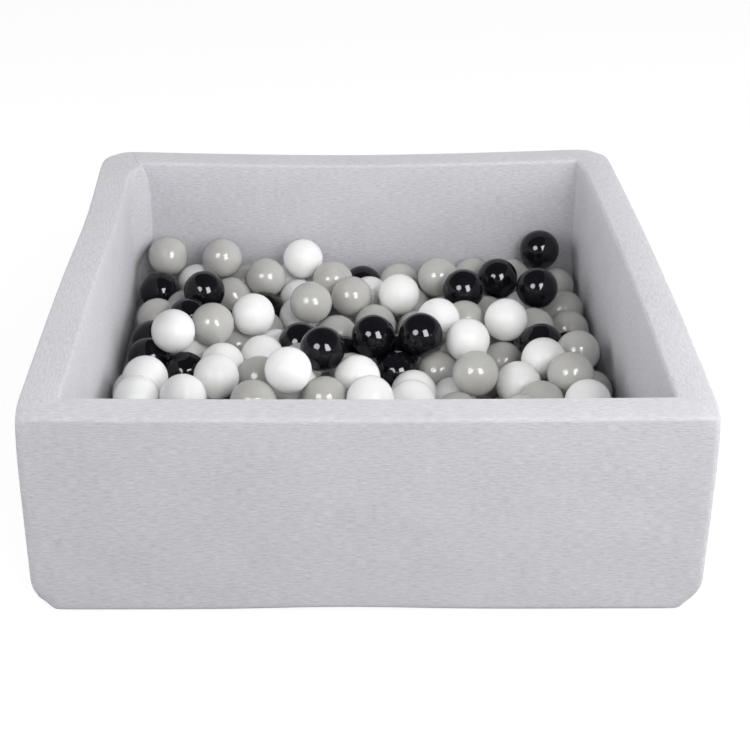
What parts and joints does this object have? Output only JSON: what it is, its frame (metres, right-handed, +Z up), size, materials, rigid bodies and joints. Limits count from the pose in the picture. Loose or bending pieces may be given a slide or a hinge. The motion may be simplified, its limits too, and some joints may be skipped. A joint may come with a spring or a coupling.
{
  "type": "ball pit",
  "caption": "Square foam ball pit with a zipped jersey wall cover, a zipped padded floor mat and a bed of hollow plastic balls.",
  "frame": {"origin": "centre of the square underside, on the ground", "axes": "+Z up, +X to the right and +Y towards the back as the picture shows the pit; the front wall is at -Y"},
  "size_m": [0.9, 0.9, 0.3],
  "materials": {
    "foam": "open-cell upholstery foam, matt",
    "jersey": "brushed melange jersey knit, matt",
    "zip_tape": "woven polyester tape with a coil, matt",
    "zip_metal": "cast zinc, satin",
    "packed_plastic": "glossy polyethylene",
    "white_plastic": "glossy polyethylene",
    "grey_plastic": "glossy polyethylene",
    "black_plastic": "glossy polyethylene"
  },
  "bodies": {
    "pit_walls": {"foam_front": "foam", "foam_back": "foam", "foam_left": "foam", "foam_right": "foam", "wall_cover": "jersey", "wall_zip_tape_front": "zip_tape", "wall_zip_tape_back": "zip_tape", "wall_zip_end_stop": "zip_metal"},
    "wall_slider": {"wall_zip_slider": "zip_metal"},
    "wall_pull": {"wall_zip_pull": "zip_metal"},
    "floor_mat": {"mat_foam": "foam", "mat_cover": "jersey", "mat_zip_tape_front": "zip_tape", "mat_zip_tape_back": "zip_tape", "mat_zip_end_stop": "zip_metal"},
    "mat_slider": {"mat_zip_slider": "zip_metal"},
    "mat_pull": {"mat_zip_pull": "zip_metal"},
    "ball_bed": {"packed_balls": "packed_plastic"},
    "grey_ball_01": {"grey_ball_01": "grey_plastic"},
    "grey_ball_02": {"grey_ball_02": "grey_plastic"},
    "black_ball_03": {"black_ball_03": "black_plastic"},
    "white_ball_04": {"white_ball_04": "white_plastic"},
    "white_ball_05": {"white_ball_05": "white_plastic"},
    "white_ball_06": {"white_ball_06": "white_plastic"},
    "white_ball_07": {"white_ball_07": "white_plastic"},
    "white_ball_08": {"white_ball_08": "white_plastic"},
    "black_ball_09": {"black_ball_09": "black_plastic"},
    "black_ball_10": {"black_ball_10": "black_plastic"},
    "grey_ball_11": {"grey_ball_11": "grey_plastic"},
    "white_ball_12": {"white_ball_12": "white_plastic"},
    "white_ball_13": {"white_ball_13": "white_plastic"},
    "grey_ball_14": {"grey_ball_14": "grey_plastic"},
    "black_ball_15": {"black_ball_15": "black_plastic"},
    "black_ball_16": {"black_ball_16": "black_plastic"},
    "black_ball_17": {"black_ball_17": "black_plastic"},
    "white_ball_18": {"white_ball_18": "white_plastic"},
    "black_ball_19": {"black_ball_19": "black_plastic"},
    "black_ball_20": {"black_ball_20": "black_plastic"},
    "black_ball_21": {"black_ball_21": "black_plastic"},
    "white_ball_22": {"white_ball_22": "white_plastic"},
    "white_ball_23": {"white_ball_23": "white_plastic"},
    "grey_ball_24": {"grey_ball_24": "grey_plastic"},
    "white_ball_25": {"white_ball_25": "white_plastic"},
    "grey_ball_26": {"grey_ball_26": "grey_plastic"},
    "white_ball_27": {"white_ball_27": "white_plastic"},
    "black_ball_28": {"black_ball_28": "black_plastic"},
    "grey_ball_29": {"grey_ball_29": "grey_plastic"},
    "grey_ball_30": {"grey_ball_30": "grey_plastic"},
    "black_ball_31": {"black_ball_31": "black_plastic"},
    "grey_ball_32": {"grey_ball_32": "grey_plastic"},
    "grey_ball_33": {"grey_ball_33": "grey_plastic"},
    "white_ball_34": {"white_ball_34": "white_plastic"},
    "white_ball_35": {"white_ball_35": "white_plastic"},
    "grey_ball_36": {"grey_ball_36": "grey_plastic"},
    "white_ball_37": {"white_ball_37": "white_plastic"},
    "white_ball_38": {"white_ball_38": "white_plastic"},
    "black_ball_39": {"black_ball_39": "black_plastic"},
    "white_ball_40": {"white_ball_40": "white_plastic"},
    "grey_ball_41": {"grey_ball_41": "grey_plastic"}
  },
  "joints": [
    {"name": "wall_zip_run", "type": "slide", "parent": "pit_walls", "child": "wall_slider", "axis": [1, 0, 0], "range_m": [0, 0.6082]},
    {"name": "wall_pull_hinge", "type": "hinge", "parent": "wall_slider", "child": "wall_pull", "pos_m": [-0.3107, 0.4235, 0.00185], "axis": [0, 1, 0], "range_deg": [0, 120]},
    {"name": "mat_lift", "type": "slide", "parent": "pit_walls", "child": "floor_mat", "axis": [0, 0, 1], "range_m": [0, 0.31]},
    {"name": "mat_zip_run", "type": "slide", "parent": "floor_mat", "child": "mat_slider", "axis": [1, 0, 0], "range_m": [0, 0.6082]},
    {"name": "mat_pull_hinge", "type": "hinge", "parent": "mat_slider", "child": "mat_pull", "pos_m": [-0.3107, 0.3697, 0.00185], "axis": [0, 1, 0], "range_deg": [0, 120]},
    {"name": "ball_bed_lift", "type": "slide", "parent": "floor_mat", "child": "ball_bed", "axis": [0, 0, 1], "range_m": [0, 0.26]},
    {"name": "grey_ball_01_lift", "type": "slide", "parent": "ball_bed", "child": "grey_ball_01", "axis": [0, 0, 1], "range_m": [0, 0.25]},
    {"name": "grey_ball_02_lift", "type": "slide", "parent": "ball_bed", "child": "grey_ball_02", "axis": [0, 0, 1], "range_m": [0, 0.25]},
    {"name": "black_ball_03_lift", "type": "slide", "parent": "ball_bed", "child": "black_ball_03", "axis": [0, 0, 1], "range_m": [0, 0.25]},
    {"name": "white_ball_04_lift", "type": "slide", "parent": "ball_bed", "child": "white_ball_04", "axis": [0, 0, 1], "range_m": [0, 0.25]},
    {"name": "white_ball_05_lift", "type": "slide", "parent": "ball_bed", "child": "white_ball_05", "axis": [0, 0, 1], "range_m": [0, 0.25]},
    {"name": "white_ball_06_lift", "type": "slide", "parent": "ball_bed", "child": "white_ball_06", "axis": [0, 0, 1], "range_m": [0, 0.25]},
    {"name": "white_ball_07_lift", "type": "slide", "parent": "ball_bed", "child": "white_ball_07", "axis": [0, 0, 1], "range_m": [0, 0.25]},
    {"name": "white_ball_08_lift", "type": "slide", "parent": "ball_bed", "child": "white_ball_08", "axis": [0, 0, 1], "range_m": [0, 0.25]},
    {"name": "black_ball_09_lift", "type": "slide", "parent": "ball_bed", "child": "black_ball_09", "axis": [0, 0, 1], "range_m": [0, 0.25]},
    {"name": "black_ball_10_lift", "type": "slide", "parent": "ball_bed", "child": "black_ball_10", "axis": [0, 0, 1], "range_m": [0, 0.25]},
    {"name": "grey_ball_11_lift", "type": "slide", "parent": "ball_bed", "child": "grey_ball_11", "axis": [0, 0, 1], "range_m": [0, 0.25]},
    {"name": "white_ball_12_lift", "type": "slide", "parent": "ball_bed", "child": "white_ball_12", "axis": [0, 0, 1], "range_m": [0, 0.25]},
    {"name": "white_ball_13_lift", "type": "slide", "parent": "ball_bed", "child": "white_ball_13", "axis": [0, 0, 1], "range_m": [0, 0.25]},
    {"name": "grey_ball_14_lift", "type": "slide", "parent": "ball_bed", "child": "grey_ball_14", "axis": [0, 0, 1], "range_m": [0, 0.25]},
    {"name": "black_ball_15_lift", "type": "slide", "parent": "ball_bed", "child": "black_ball_15", "axis": [0, 0, 1], "range_m": [0, 0.25]},
    {"name": "black_ball_16_lift", "type": "slide", "parent": "ball_bed", "child": "black_ball_16", "axis": [0, 0, 1], "range_m": [0, 0.25]},
    {"name": "black_ball_17_lift", "type": "slide", "parent": "ball_bed", "child": "black_ball_17", "axis": [0, 0, 1], "range_m": [0, 0.25]},
    {"name": "white_ball_18_lift", "type": "slide", "parent": "ball_bed", "child": "white_ball_18", "axis": [0, 0, 1], "range_m": [0, 0.25]},
    {"name": "black_ball_19_lift", "type": "slide", "parent": "ball_bed", "child": "black_ball_19", "axis": [0, 0, 1], "range_m": [0, 0.25]},
    {"name": "black_ball_20_lift", "type": "slide", "parent": "ball_bed", "child": "black_ball_20", "axis": [0, 0, 1], "range_m": [0, 0.25]},
    {"name": "black_ball_21_lift", "type": "slide", "parent": "ball_bed", "child": "black_ball_21", "axis": [0, 0, 1], "range_m": [0, 0.25]},
    {"name": "white_ball_22_lift", "type": "slide", "parent": "ball_bed", "child": "white_ball_22", "axis": [0, 0, 1], "range_m": [0, 0.25]},
    {"name": "white_ball_23_lift", "type": "slide", "parent": "ball_bed", "child": "white_ball_23", "axis": [0, 0, 1], "range_m": [0, 0.25]},
    {"name": "grey_ball_24_lift", "type": "slide", "parent": "ball_bed", "child": "grey_ball_24", "axis": [0, 0, 1], "range_m": [0, 0.25]},
    {"name": "white_ball_25_lift", "type": "slide", "parent": "ball_bed", "child": "white_ball_25", "axis": [0, 0, 1], "range_m": [0, 0.25]},
    {"name": "grey_ball_26_lift", "type": "slide", "parent": "ball_bed", "child": "grey_ball_26", "axis": [0, 0, 1], "range_m": [0, 0.25]},
    {"name": "white_ball_27_lift", "type": "slide", "parent": "ball_bed", "child": "white_ball_27", "axis": [0, 0, 1], "range_m": [0, 0.25]},
    {"name": "black_ball_28_lift", "type": "slide", "parent": "ball_bed", "child": "black_ball_28", "axis": [0, 0, 1], "range_m": [0, 0.25]},
    {"name": "grey_ball_29_lift", "type": "slide", "parent": "ball_bed", "child": "grey_ball_29", "axis": [0, 0, 1], "range_m": [0, 0.25]},
    {"name": "grey_ball_30_lift", "type": "slide", "parent": "ball_bed", "child": "grey_ball_30", "axis": [0, 0, 1], "range_m": [0, 0.25]},
    {"name": "black_ball_31_lift", "type": "slide", "parent": "ball_bed", "child": "black_ball_31", "axis": [0, 0, 1], "range_m": [0, 0.25]},
    {"name": "grey_ball_32_lift", "type": "slide", "parent": "ball_bed", "child": "grey_ball_32", "axis": [0, 0, 1], "range_m": [0, 0.25]},
    {"name": "grey_ball_33_lift", "type": "slide", "parent": "ball_bed", "child": "grey_ball_33", "axis": [0, 0, 1], "range_m": [0, 0.25]},
    {"name": "white_ball_34_lift", "type": "slide", "parent": "ball_bed", "child": "white_ball_34", "axis": [0, 0, 1], "range_m": [0, 0.25]},
    {"name": "white_ball_35_lift", "type": "slide", "parent": "ball_bed", "child": "white_ball_35", "axis": [0, 0, 1], "range_m": [0, 0.25]},
    {"name": "grey_ball_36_lift", "type": "slide", "parent": "ball_bed", "child": "grey_ball_36", "axis": [0, 0, 1], "range_m": [0, 0.25]},
    {"name": "white_ball_37_lift", "type": "slide", "parent": "ball_bed", "child": "white_ball_37", "axis": [0, 0, 1], "range_m": [0, 0.25]},
    {"name": "white_ball_38_lift", "type": "slide", "parent": "ball_bed", "child": "white_ball_38", "axis": [0, 0, 1], "range_m": [0, 0.25]},
    {"name": "black_ball_39_lift", "type": "slide", "parent": "ball_bed", "child": "black_ball_39", "axis": [0, 0, 1], "range_m": [0, 0.25]},
    {"name": "white_ball_40_lift", "type": "slide", "parent": "ball_bed", "child": "white_ball_40", "axis": [0, 0, 1], "range_m": [0, 0.25]},
    {"name": "grey_ball_41_lift", "type": "slide", "parent": "ball_bed", "child": "grey_ball_41", "axis": [0, 0, 1], "range_m": [0, 0.25]}
  ]
}
